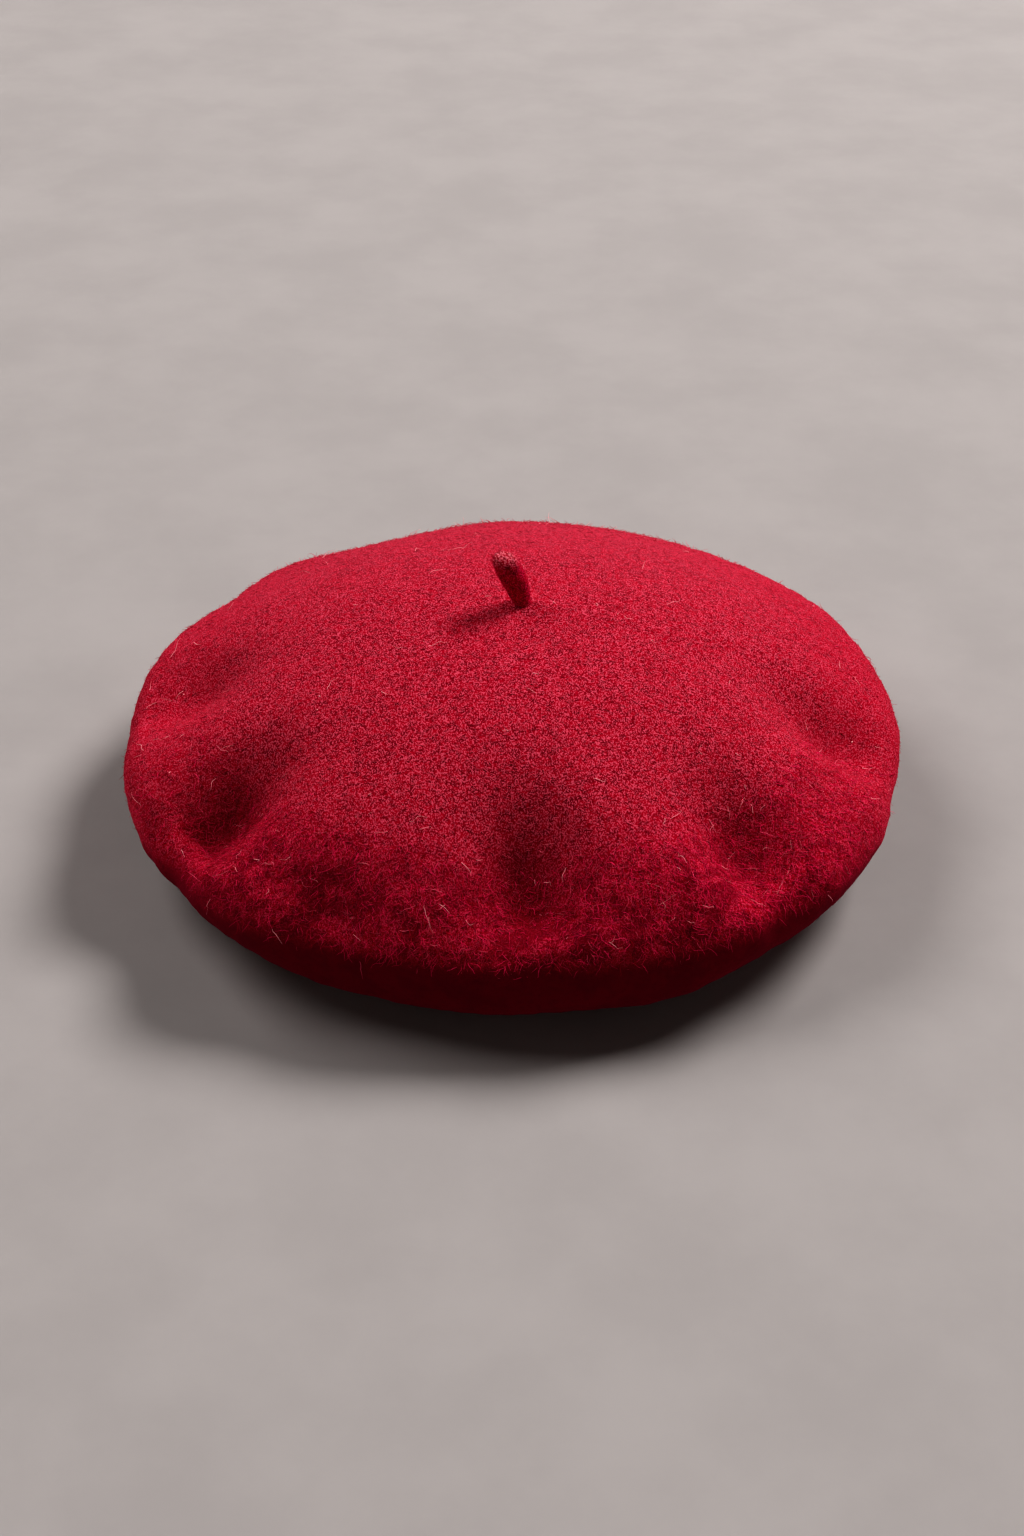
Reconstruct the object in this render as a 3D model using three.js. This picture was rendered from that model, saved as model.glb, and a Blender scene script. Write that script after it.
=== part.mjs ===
// A basque beret: a crown of fulled wool in one piece, and the short stalk at its middle.
// Millimetres, +Z up. The origin is on the surface that the beret rests on, under the middle
// of the head opening. The front faces -Y, and azimuths are counted from +X towards +Y.

import * as THREE from 'three';

// Driving dimensions

const FELT_THICKNESS = 2.5;
const CROWN_HEIGHT = 83; // from the table to the top of the smooth dome
const DOME_FLATNESS = 62; // reach of the dome's level pull at the top
const SHOULDER_PULL = 38; // reach of its pull where it meets the rim
const RIM_RADIUS = 140;
const RIM_HEIGHT = 32; // height of the widest part of the rim
const UPPER_RIM_ROUND = 15; // roundness of the rim above its widest part
const LOWER_RIM_ROUND = 23; // and below it
const SHOULDER_ANGLE = 60; // degrees of the upper round
const UNDERSIDE_ANGLE = 70; // degrees of the lower round
const UNDERSIDE_PULL = 10;
const SEAT_RADIUS = 96; // outer edge of the flat ring that rests on the table
const SEAT_PULL = 12;
const MOUTH_RADIUS = 87; // the head opening
const FOLD_FADE = 38; // folds die out over this much felt before the seat

const SEGMENTS = 72; // round the crown
const DOME_RINGS = 15;
const UPPER_RIM_RINGS = 4;
const LOWER_RIM_RINGS = 6;
const UNDERSIDE_RINGS = 4;
const SEAT_RINGS = 2;
const LIP_STEPS = 4;

const STALK_HEIGHT = 19.5;
const STALK_REACH = 5.5; // the stalk stands a little off the middle
const STALK_AZIMUTH = 50;
const STALK_LEAN = -7; // how far the tip leans along X
const STALK_GAP = 0.3;
const STALK_SEGMENTS = 20;

// The stalk's section, from its foot to the start of its round tip.
const STALK_SECTIONS = [
  { height: 0, radius: 3.3 },
  { height: 2, radius: 3.6 },
  { height: 4.5, radius: 4 },
  { height: 7.5, radius: 4.45 },
  { height: 10.5, radius: 4.85 },
  { height: 13, radius: 4.9 },
  { height: 15, radius: 4.75 },
];
const STALK_TIP_STEPS = 5;

// The dents and ridges of the crown. Reach is the distance over the felt from the middle of
// the top. Length and width are how far from its middle a fold has faded to about a third,
// along and across its line. The line runs out from the top, turned by the turn in degrees.
// A positive depth is a dent, and a negative one a ridge or a swelling.
const FOLDS = [
  { name: 'left dent', azimuth: -145, reach: 131, turn: -5, length: 28, width: 17, depth: 17 },
  { name: 'front dent', azimuth: -88, reach: 118, turn: 10, length: 29, width: 19.5, depth: 16 },
  { name: 'right dent', azimuth: -50, reach: 125, turn: -4, length: 27, width: 16, depth: 12 },
  { name: 'right back dent', azimuth: -14, reach: 122, turn: -7, length: 28, width: 17, depth: 10.5 },
  { name: 'left back dent', azimuth: -178, reach: 121, turn: 3, length: 25, width: 19, depth: 9 },
  { name: 'front left dent', azimuth: -117, reach: 141, turn: 5, length: 17, width: 21, depth: 7 },
  { name: 'front right dent', azimuth: -66, reach: 144, turn: -4, length: 16, width: 21, depth: 6 },
  { name: 'slack beside front dent', azimuth: -100, reach: 131, turn: 0, length: 24, width: 22, depth: 3 },
  { name: 'front rim droop', azimuth: -95, reach: 151, turn: 3, length: 19, width: 83, depth: 8.3 },
  { name: 'front underside', azimuth: -92, reach: 176, turn: 0, length: 13, width: 120, depth: -1.5 },
  { name: 'front left underside', azimuth: -120, reach: 176, turn: 0, length: 13, width: 30, depth: -4 },
  { name: 'front right underside', azimuth: -66, reach: 176, turn: 0, length: 13, width: 30, depth: -4.5 },
  { name: 'end of left dent', azimuth: -146, reach: 160, turn: 0, length: 12, width: 22, depth: -3.5 },
  { name: 'low left tuck', azimuth: -144, reach: 152, turn: 0, length: 10, width: 16, depth: 2.5 },
  { name: 'low right tuck', azimuth: -33, reach: 147, turn: 0, length: 12, width: 18, depth: 1.5 },
  { name: 'low left swelling', azimuth: -115, reach: 151, turn: 0, length: 10, width: 20, depth: -1 },
  { name: 'upper left swelling', azimuth: -125, reach: 104, turn: 0, length: 18, width: 14, depth: -0.7 },
  { name: 'upper right swelling', azimuth: -72, reach: 100, turn: 0, length: 18, width: 12, depth: -0.8 },
  { name: 'front rim bump', azimuth: -86, reach: 143, turn: 0, length: 10, width: 14, depth: -2.5 },
  { name: 'back sag', azimuth: 114, reach: 138, turn: 0, length: 26, width: 30, depth: 4.5 },
  { name: 'left back sag', azimuth: 146, reach: 146, turn: 0, length: 22, width: 22, depth: 2.5 },
  { name: 'right back swelling', azimuth: 28, reach: 150, turn: 0, length: 20, width: 36, depth: -1.5 },
  { name: 'back rim tuck', azimuth: 85, reach: 160, turn: 0, length: 16, width: 90, depth: 3.2 },
  { name: 'stalk collar', azimuth: 50, reach: 5.5, turn: 0, length: 12, width: 12, depth: -1.5 },
];

const { degToRad, lerp, smoothstep } = THREE.MathUtils;

// The meridian: half of the crown's section, from the middle of the top, over the rim and
// under it to the flat seat. x is the distance from the axis and y is the height.

function roundEnd(centre, radius, degrees) {
  const angle = degToRad(degrees);
  return new THREE.Vector2(Math.cos(angle), Math.sin(angle)).multiplyScalar(radius).add(centre);
}

function roundTangent(degrees) {
  const angle = degToRad(degrees);
  return new THREE.Vector2(-Math.sin(angle), Math.cos(angle));
}

function rimRound(centre, radius, fromDegrees, toDegrees) {
  const from = degToRad(fromDegrees);
  const to = degToRad(toDegrees);
  return new THREE.EllipseCurve(centre.x, centre.y, radius, radius, from, to, true);
}

function meridianStretches() {
  const upperCentre = new THREE.Vector2(RIM_RADIUS - UPPER_RIM_ROUND, RIM_HEIGHT);
  const lowerCentre = new THREE.Vector2(RIM_RADIUS - LOWER_RIM_ROUND, RIM_HEIGHT);
  const shoulder = roundEnd(upperCentre, UPPER_RIM_ROUND, SHOULDER_ANGLE);
  const underside = roundEnd(lowerCentre, LOWER_RIM_ROUND, -UNDERSIDE_ANGLE);
  const seat = new THREE.Vector2(SEAT_RADIUS, 0);
  const dome = new THREE.CubicBezierCurve(
    new THREE.Vector2(0, CROWN_HEIGHT),
    new THREE.Vector2(DOME_FLATNESS, CROWN_HEIGHT),
    roundTangent(SHOULDER_ANGLE).multiplyScalar(SHOULDER_PULL).add(shoulder),
    shoulder,
  );
  const sole = new THREE.CubicBezierCurve(
    underside,
    roundTangent(-UNDERSIDE_ANGLE).multiplyScalar(-UNDERSIDE_PULL).add(underside),
    new THREE.Vector2(SEAT_RADIUS + SEAT_PULL, 0),
    seat,
  );
  return [
    { curve: dome, rings: DOME_RINGS },
    { curve: rimRound(upperCentre, UPPER_RIM_ROUND, SHOULDER_ANGLE, 0), rings: UPPER_RIM_RINGS },
    { curve: rimRound(lowerCentre, LOWER_RIM_ROUND, 0, -UNDERSIDE_ANGLE), rings: LOWER_RIM_RINGS },
    { curve: sole, rings: UNDERSIDE_RINGS },
    { curve: new THREE.LineCurve(seat, new THREE.Vector2(MOUTH_RADIUS, 0)), rings: SEAT_RINGS },
  ];
}

// A station is a place on the meridian: its distance over the felt from the middle of the
// top, the point there and the direction out of the felt.

function stationsOf(stretches) {
  const top = new THREE.Vector2(0, CROWN_HEIGHT);
  const stations = [{ distance: 0, point: top, out: new THREE.Vector2(0, 1) }];
  let start = 0;
  for (const { curve, rings } of stretches) {
    const length = curve.getLength();
    for (let ring = 1; ring <= rings; ring += 1) {
      const share = ring / rings;
      const tangent = curve.getTangentAt(share);
      stations.push({
        distance: start + share * length,
        point: curve.getPointAt(share),
        out: new THREE.Vector2(-tangent.y, tangent.x),
      });
    }
    start += length;
  }
  return stations;
}

const STATIONS = stationsOf(meridianStretches());
const FELT_LENGTH = STATIONS.at(-1).distance;
const SEAT_WIDTH = SEAT_RADIUS - MOUTH_RADIUS;

// How far the folds press the felt in at a place on it. The felt is thought of as a flat
// disc, on which every place keeps its distance from the middle.

function pressedIn(distance, azimuth) {
  const x = distance * Math.cos(azimuth);
  const y = distance * Math.sin(azimuth);
  let depth = 0;
  for (const fold of FOLDS) {
    const from = degToRad(fold.azimuth);
    const line = degToRad(fold.azimuth + fold.turn);
    const east = x - fold.reach * Math.cos(from);
    const north = y - fold.reach * Math.sin(from);
    const along = east * Math.cos(line) + north * Math.sin(line);
    const across = north * Math.cos(line) - east * Math.sin(line);
    depth += fold.depth * Math.exp(-((along / fold.length) ** 2) - (across / fold.width) ** 2);
  }
  const seatStart = FELT_LENGTH - SEAT_WIDTH;
  return depth * (1 - smoothstep(distance, seatStart - FOLD_FADE, seatStart));
}

function feltPoint(station, azimuth, inset) {
  const offset = -inset - pressedIn(station.distance, azimuth);
  const radius = station.point.x + offset * station.out.x;
  const height = station.point.y + offset * station.out.y;
  return new THREE.Vector3(radius * Math.cos(azimuth), radius * Math.sin(azimuth), height);
}

// Rows of points that run down the outer face, round the lip of the head opening, and back
// up the inner face. The first and the last row are single points on the axis.

function lipPoint(step, azimuth) {
  const angle = (Math.PI * step) / LIP_STEPS;
  const radius = MOUTH_RADIUS - (FELT_THICKNESS / 2) * Math.sin(angle);
  const height = (FELT_THICKNESS / 2) * (1 - Math.cos(angle));
  return new THREE.Vector3(radius * Math.cos(azimuth), radius * Math.sin(azimuth), height);
}

function roundOf(makePoint) {
  const turn = (2 * Math.PI) / SEGMENTS;
  return Array.from({ length: SEGMENTS }, (_, segment) => makePoint(segment * turn));
}

function crownRows() {
  const outer = STATIONS.slice(1).map((station) => roundOf((azimuth) => feltPoint(station, azimuth, 0)));
  const lip = [];
  for (let step = 1; step < LIP_STEPS; step += 1) {
    lip.push(roundOf((azimuth) => lipPoint(step, azimuth)));
  }
  const inner = STATIONS.slice(1).reverse()
    .map((station) => roundOf((azimuth) => feltPoint(station, azimuth, FELT_THICKNESS)));
  const top = feltPoint(STATIONS[0], 0, 0);
  const ceiling = feltPoint(STATIONS[0], 0, FELT_THICKNESS);
  return { top, rows: [...outer, ...lip, ...inner], ceiling };
}

function crownGeometry() {
  const { top, rows, ceiling } = crownRows();
  const points = [top, ...rows.flat(), ceiling];
  const last = points.length - 1;
  const at = (row, segment) => 1 + row * SEGMENTS + (segment % SEGMENTS);
  const faces = [];
  for (let segment = 0; segment < SEGMENTS; segment += 1) {
    faces.push(0, at(0, segment), at(0, segment + 1));
    for (let row = 0; row < rows.length - 1; row += 1) {
      faces.push(at(row, segment), at(row + 1, segment), at(row + 1, segment + 1));
      faces.push(at(row, segment), at(row + 1, segment + 1), at(row, segment + 1));
    }
    faces.push(at(rows.length - 1, segment), last, at(rows.length - 1, segment + 1));
  }
  const geometry = new THREE.BufferGeometry().setFromPoints(points);
  geometry.setIndex(faces);
  geometry.computeVertexNormals();
  return geometry;
}

// The stalk: a felted stub, thicker at its round tip than at its foot, that leans to one side
// and stands level on the crown.

function stalkGeometry() {
  const profile = [new THREE.Vector2(0, 0)];
  for (const { height, radius } of STALK_SECTIONS) {
    profile.push(new THREE.Vector2(radius, height));
  }
  const shoulder = STALK_SECTIONS.at(-1);
  const tipHeight = STALK_HEIGHT - shoulder.height;
  for (let step = 1; step < STALK_TIP_STEPS; step += 1) {
    const angle = (Math.PI / 2) * (step / STALK_TIP_STEPS);
    const radius = shoulder.radius * Math.cos(angle);
    profile.push(new THREE.Vector2(radius, shoulder.height + tipHeight * Math.sin(angle)));
  }
  profile.push(new THREE.Vector2(0, STALK_HEIGHT));
  const geometry = new THREE.LatheGeometry(profile, STALK_SEGMENTS);
  geometry.rotateX(Math.PI / 2);
  const position = geometry.attributes.position;
  for (let index = 0; index < position.count; index += 1) {
    const lean = lerp(0, STALK_LEAN, position.getZ(index) / STALK_HEIGHT);
    position.setX(index, position.getX(index) + lean);
  }
  return geometry;
}

function stalkFoot() {
  const azimuth = degToRad(STALK_AZIMUTH);
  const height = CROWN_HEIGHT - pressedIn(STALK_REACH, azimuth) + STALK_GAP;
  return new THREE.Vector3(STALK_REACH * Math.cos(azimuth), STALK_REACH * Math.sin(azimuth), height);
}

const crimsonFelt = new THREE.MeshStandardMaterial({ color: 0xb5102d, roughness: 0.95, metalness: 0 });
const stalkFelt = new THREE.MeshStandardMaterial({ color: 0x8c0f24, roughness: 0.95, metalness: 0 });

const crown = new THREE.Mesh(crownGeometry(), crimsonFelt);
crown.name = 'crown';

const stalk = new THREE.Mesh(stalkGeometry(), stalkFelt);
stalk.name = 'stalk';
stalk.position.copy(stalkFoot());

const beret = new THREE.Group();
beret.add(crown, stalk);

export default beret;
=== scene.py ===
"""A basque beret of fulled red wool: its folded crown, its stalk, its nap and the stage it lies on."""

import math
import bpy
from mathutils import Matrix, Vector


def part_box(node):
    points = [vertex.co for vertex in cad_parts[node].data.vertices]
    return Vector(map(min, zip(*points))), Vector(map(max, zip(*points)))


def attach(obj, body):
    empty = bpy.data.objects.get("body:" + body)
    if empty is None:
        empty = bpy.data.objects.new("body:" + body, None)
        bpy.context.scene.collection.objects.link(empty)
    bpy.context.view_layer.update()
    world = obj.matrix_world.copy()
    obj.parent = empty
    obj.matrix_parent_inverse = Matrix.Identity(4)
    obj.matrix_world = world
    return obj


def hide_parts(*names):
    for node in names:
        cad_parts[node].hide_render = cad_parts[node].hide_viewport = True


bl_info = {
    "name": "Basque Beret",
    "version": (1, 0, 0),
    "blender": (4, 5, 0),
    "location": "3D View > Sidebar > Beret",
    "description": "Builds a felted wool beret with its dents, stalk and nap",
    "category": "Object",
}

from collections import namedtuple

import bmesh
import bpy
import numpy as np
from bpy.props import FloatProperty, FloatVectorProperty, IntProperty, PointerProperty
from mathutils import Vector, noise

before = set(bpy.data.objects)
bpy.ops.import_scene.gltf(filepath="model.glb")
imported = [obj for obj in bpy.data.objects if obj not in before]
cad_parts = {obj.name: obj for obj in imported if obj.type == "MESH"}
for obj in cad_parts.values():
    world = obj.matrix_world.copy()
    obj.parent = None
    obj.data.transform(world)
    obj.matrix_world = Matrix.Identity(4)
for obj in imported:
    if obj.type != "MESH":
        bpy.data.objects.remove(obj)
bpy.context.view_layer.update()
MM = 0.001
CM = 0.01

# The folds of the crown, in degrees and millimetres. Reach is the distance over the felt from
# the middle of the top. Length and width are how far from its middle a fold has faded to about
# a third, along and across its line, which runs out from the top, turned by the turn. A positive
# depth is a dent, and a negative one a ridge or a swelling.
Fold = namedtuple("Fold", "name azimuth reach turn length width depth")
FOLDS = (
    Fold("Left dent", -145, 131, -5, 28, 17, 17),
    Fold("Front dent", -88, 118, 10, 29, 19.5, 16),
    Fold("Right dent", -50, 125, -4, 27, 16, 12),
    Fold("Right back dent", -14, 122, -7, 28, 17, 10.5),
    Fold("Left back dent", -178, 121, 3, 25, 19, 9),
    Fold("Front left dent", -117, 141, 5, 17, 21, 7),
    Fold("Front right dent", -66, 144, -4, 16, 21, 6),
    Fold("Slack beside front dent", -100, 131, 0, 24, 22, 3),
    Fold("Front rim droop", -95, 151, 3, 19, 83, 8.3),
    Fold("Front underside", -92, 176, 0, 13, 120, -1.5),
    Fold("Front left underside", -120, 176, 0, 13, 30, -4),
    Fold("Front right underside", -66, 176, 0, 13, 30, -4.5),
    Fold("End of left dent", -146, 160, 0, 12, 22, -3.5),
    Fold("Low left tuck", -144, 152, 0, 10, 16, 0.8),
    Fold("Low right tuck", -33, 147, 0, 12, 18, 1.5),
    Fold("Low left swelling", -115, 151, 0, 10, 20, -1),
    Fold("Upper left swelling", -125, 104, 0, 18, 14, -0.7),
    Fold("Upper right swelling", -72, 100, 0, 18, 12, -0.8),
    Fold("Front rim bump", -86, 143, 0, 10, 14, -2.5),
    Fold("Back sag", 114, 138, 0, 26, 30, 4.5),
    Fold("Left back sag", 146, 146, 0, 22, 22, 2.5),
    Fold("Right back swelling", 28, 150, 0, 20, 36, -1.5),
    Fold("Back rim tuck", 85, 160, 0, 16, 90, 3.2),
    Fold("Stalk collar", 50, 5.5, 0, 12, 12, -1.5),
    Fold("Front tuft", -86, 136, 0, 8, 15, -3.0),
    Fold("Crease below stalk", -78, 17, 0, 2, 10, 0.4),
    Fold("Crease right of stalk", -48, 24, 0, 2, 9, 0.3),
)

# The stalk's section, in millimetres above the felt it grows from.
Section = namedtuple("Section", "height radius")
STALK_SECTIONS = (
    Section(-1.5, 3.1),
    Section(0.0, 3.3),
    Section(2.0, 3.6),
    Section(4.5, 4.0),
    Section(7.5, 4.45),
    Section(10.5, 4.85),
    Section(13.0, 4.9),
    Section(15.0, 4.75),
)

LIP_STEPS = 6  # points round the lip of the head opening

# The kinds of fibre. Start and end are reaches, density is in fibres on each square centimetre,
# lie is the tilt from upright in degrees, comb is how closely they point down the slope, front is
# how much they keep to the front, and curl is how far their tips wander. Lengths are in millimetres.
Fibres = namedtuple(
    "Fibres", "name start end density length thickness points lie comb front curl curl_size seed"
)
CROWN_FIBRES = (
    Fibres("crown_fuzz", 0, 156, 18, 1.1, 0.14, 3, 64, 0.1, 0.0, 0.7, 1.6, 11),
    Fibres("crown_curls", 0, 146, 10.5, 2.6, 0.20, 5, 80, 0.2, 0.0, 1.4, 1.9, 23),
    Fibres("crown_combed", 112, 153, 58, 3.4, 0.18, 6, 76, 0.6, 1.0, 1.9, 2.6, 37),
    Fibres("crown_stray_hairs", 15, 150, 0.11, 5.5, 0.20, 12, 80, 0.0, 0.0, 5.5, 5.0, 41),
    Fibres("crown_wisps", 100, 156, 1.2, 4.6, 0.20, 10, 78, 0.3, 0.8, 3.2, 4.0, 61),
    Fibres("crown_lint", 30, 150, 0.012, 0.8, 0.50, 3, 70, 0.0, 0.0, 0.4, 1.0, 47),
)
STALK_FIBRES = (Fibres("stalk_fuzz", 0, 99, 90, 0.8, 0.13, 3, 66, 0.0, 0.0, 0.6, 1.3, 53),)
FIBRE_SIDES = 3
FIBRE_EDGE = 4 * MM  # fibres fade in and out over this much felt to each side

# Where the felt changes, each from where a change starts to where it is whole. Front and back
# are places along the beret's depth, the tufts, the knee of the rim and the nap's end are
# reaches, the painted shade deep in a dent is a depth, and the stalk's tip is a height.
Change = namedtuple("Change", "start end")
FRONT = Change(-50 * MM, -100 * MM)
BACK = Change(0.0, 120 * MM)
TUFTS = Change(105 * MM, 140 * MM)
KNEE = Change(92 * MM, 135 * MM)
NAP_END = Change(148 * MM, 162 * MM)
# Painted shade darkens the felt in a dent from the first depth to the second.
DENT_SHADE = Change(6 * MM, 16 * MM)
STALK_TIP = Change(99 * MM, 105 * MM)

# How finely the patterns of the felt and the floor repeat, for each metre.
FLOOR_SCALE = 14.0
LUMP_SCALE = 42.0
PATCH_SCALE = 70.0
TUFT_SCALE = 125.0
TINT_SCALE = 140.0
CLUMP_SCALE = 170.0
STALK_LUMP_SCALE = 330.0
PEBBLE_SCALE = 520.0
STALK_DIMPLE_SCALE = 800.0
GRAIN_SCALE = 2300.0

# The soft lights behind the beret. Width is how wide each looks from the beret, in degrees.
Lamp = namedtuple("Lamp", "name azimuth elevation width")
KEY_LIGHT = Lamp("key_light", 37, 42.0, 25)
SECOND_LIGHT = Lamp("second_light", 153, 44.5, 38)
LAMP_ALLOWANCE = 1.1  # each lamp's disk is this many times as wide as that

# The floor's bowl, in metres: its radius inside, the radius of its bend and the wall above that.
FLOOR_INSIDE, FLOOR_BEND, FLOOR_WALL = 3.4, 0.8, 1.6


# Settings


def length_setting(name, description, default, **limits):
    """A length among the settings."""
    return FloatProperty(name=name, description=description, default=default, unit="LENGTH", **limits)


def angle_setting(name, description, degrees):
    """An angle among the settings."""
    default = math.radians(degrees)
    return FloatProperty(name=name, description=description, default=default, subtype="ANGLE")


def colour_setting(name, description, default):
    """A colour among the settings."""
    return FloatVectorProperty(
        name=name, description=description, default=default, min=0, max=1, size=3, subtype="COLOR"
    )


class BeretCrownSettings(bpy.types.PropertyGroup):
    """Sizes of the crown."""

    crown_height: length_setting(
        "Crown height", "From the table to the top of the smooth dome", 83 * MM, min=0.02
    )
    dome_flatness: length_setting(
        "Dome flatness", "Reach of the dome's level pull at the top", 62 * MM, min=0
    )
    shoulder_pull: length_setting(
        "Shoulder pull", "Reach of the dome's pull where it meets the rim", 38 * MM, min=0
    )
    rim_radius: length_setting("Rim radius", "Widest part of the rim", 140 * MM, min=0.05)
    rim_height: length_setting("Rim height", "Height of the widest part of the rim", 32 * MM, min=0.01)
    upper_round: length_setting(
        "Upper round", "Roundness of the rim above its widest part", 15 * MM, min=0.001
    )
    lower_round: length_setting(
        "Lower round", "Roundness of the rim below its widest part", 23 * MM, min=0.001
    )
    shoulder_angle: angle_setting("Shoulder angle", "Turn of the upper round", 60)
    underside_angle: angle_setting("Underside angle", "Turn of the lower round", 70)
    underside_pull: length_setting(
        "Underside pull", "Reach of the underside's pull below the rim", 10 * MM, min=0
    )
    seat_radius: length_setting(
        "Seat radius", "Outer edge of the flat ring that rests on the table", 96 * MM, min=0.02
    )
    seat_pull: length_setting(
        "Seat pull", "Reach of the underside's level pull at the seat", 12 * MM, min=0
    )
    mouth_radius: length_setting("Mouth radius", "Radius of the head opening", 87 * MM, min=0.02)
    felt_thickness: length_setting("Felt thickness", "Thickness of the felt", 2.5 * MM, min=0.0005)
    fold_strength: FloatProperty(
        name="Fold strength", description="Share of each fold's depth that is pressed in",
        default=1, min=0, max=1.5, subtype="FACTOR",
    )
    fold_fade: length_setting(
        "Fold fade", "Folds die out over this much felt before the seat", 38 * MM, min=0.001
    )
    lump_height: length_setting("Lump height", "Height of the felt's soft unevenness", 0.5 * MM, min=0)
    row_spacing: length_setting(
        "Row spacing", "Distance between the rows of points on the outer face", 1.6 * MM, min=0.0005
    )
    segments: IntProperty(name="Segments", description="Points round the crown", default=360, min=24)


class BeretStalkSettings(bpy.types.PropertyGroup):
    """Sizes of the stalk."""

    height: length_setting("Height", "From the felt to the tip", 19.5 * MM, min=0.001)
    lean: length_setting("Lean", "How far the tip leans to the left", 7 * MM)
    reach: length_setting("Reach", "How far the foot is from the middle", 5.5 * MM)
    azimuth: angle_setting("Azimuth", "Direction of the foot from the middle", 50)
    lump_height: length_setting("Lump height", "Height of the stalk's lumps", 0.35 * MM, min=0)


class BeretColours(bpy.types.PropertyGroup):
    """Colours of the wool and the floor."""

    wool: colour_setting("Wool", "Colour of the felt", (0.37, 0.001, 0.019))
    deep_wool: colour_setting("Deep wool", "Colour between the curls of the felt", (0.19, 0.0, 0.010))
    pale_wool: colour_setting("Pale wool", "Colour of the curls that catch the light", (0.69, 0.093, 0.152))
    combed_wool: colour_setting(
        "Combed wool", "Colour of the fibres combed down over the rim", (0.85, 0.030, 0.145)
    )
    # Painted shade: the smooth felt below the rim, darker than even the deep wool, stands in for the shade
    # under the rim.
    painted_rim_shade: colour_setting("Rim shade", "Colour of the smooth felt below the rim", (0.13, 0.0, 0.013))
    stray_hair: colour_setting("Stray hair", "Colour of the long stray hairs", (1.0, 0.44, 0.46))
    floor: colour_setting("Floor", "Colour of the floor", (0.383, 0.352, 0.342))


class BeretStageSettings(bpy.types.PropertyGroup):
    """The camera and the lights."""

    camera_elevation: angle_setting("Camera elevation", "How far above level the camera stands", 35.81)
    camera_distance: length_setting(
        "Camera distance", "From the camera to the point it aims at", 784.8 * MM, min=0.1
    )
    aim_height: length_setting("Aim height", "Height of the point the camera aims at", 16 * MM)
    light_distance: length_setting("Light distance", "From the lights to the beret", 4.5, min=0.5)
    key_power: FloatProperty(
        name="Key light", description="Power of the light behind on the right",
        default=258, min=0, unit="POWER",
    )
    second_power: FloatProperty(
        name="Second light", description="Power of the light behind on the left",
        default=135, min=0, unit="POWER",
    )
    sky: FloatProperty(
        name="Sky", description="Strength of the light from all round",
        default=0.008, min=0, subtype="FACTOR",
    )


class BeretSettings(bpy.types.PropertyGroup):
    """Everything that the beret's operators read."""

    crown: PointerProperty(type=BeretCrownSettings)
    stalk: PointerProperty(type=BeretStalkSettings)
    colours: PointerProperty(type=BeretColours)
    stage: PointerProperty(type=BeretStageSettings)


# Building node trees


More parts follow.
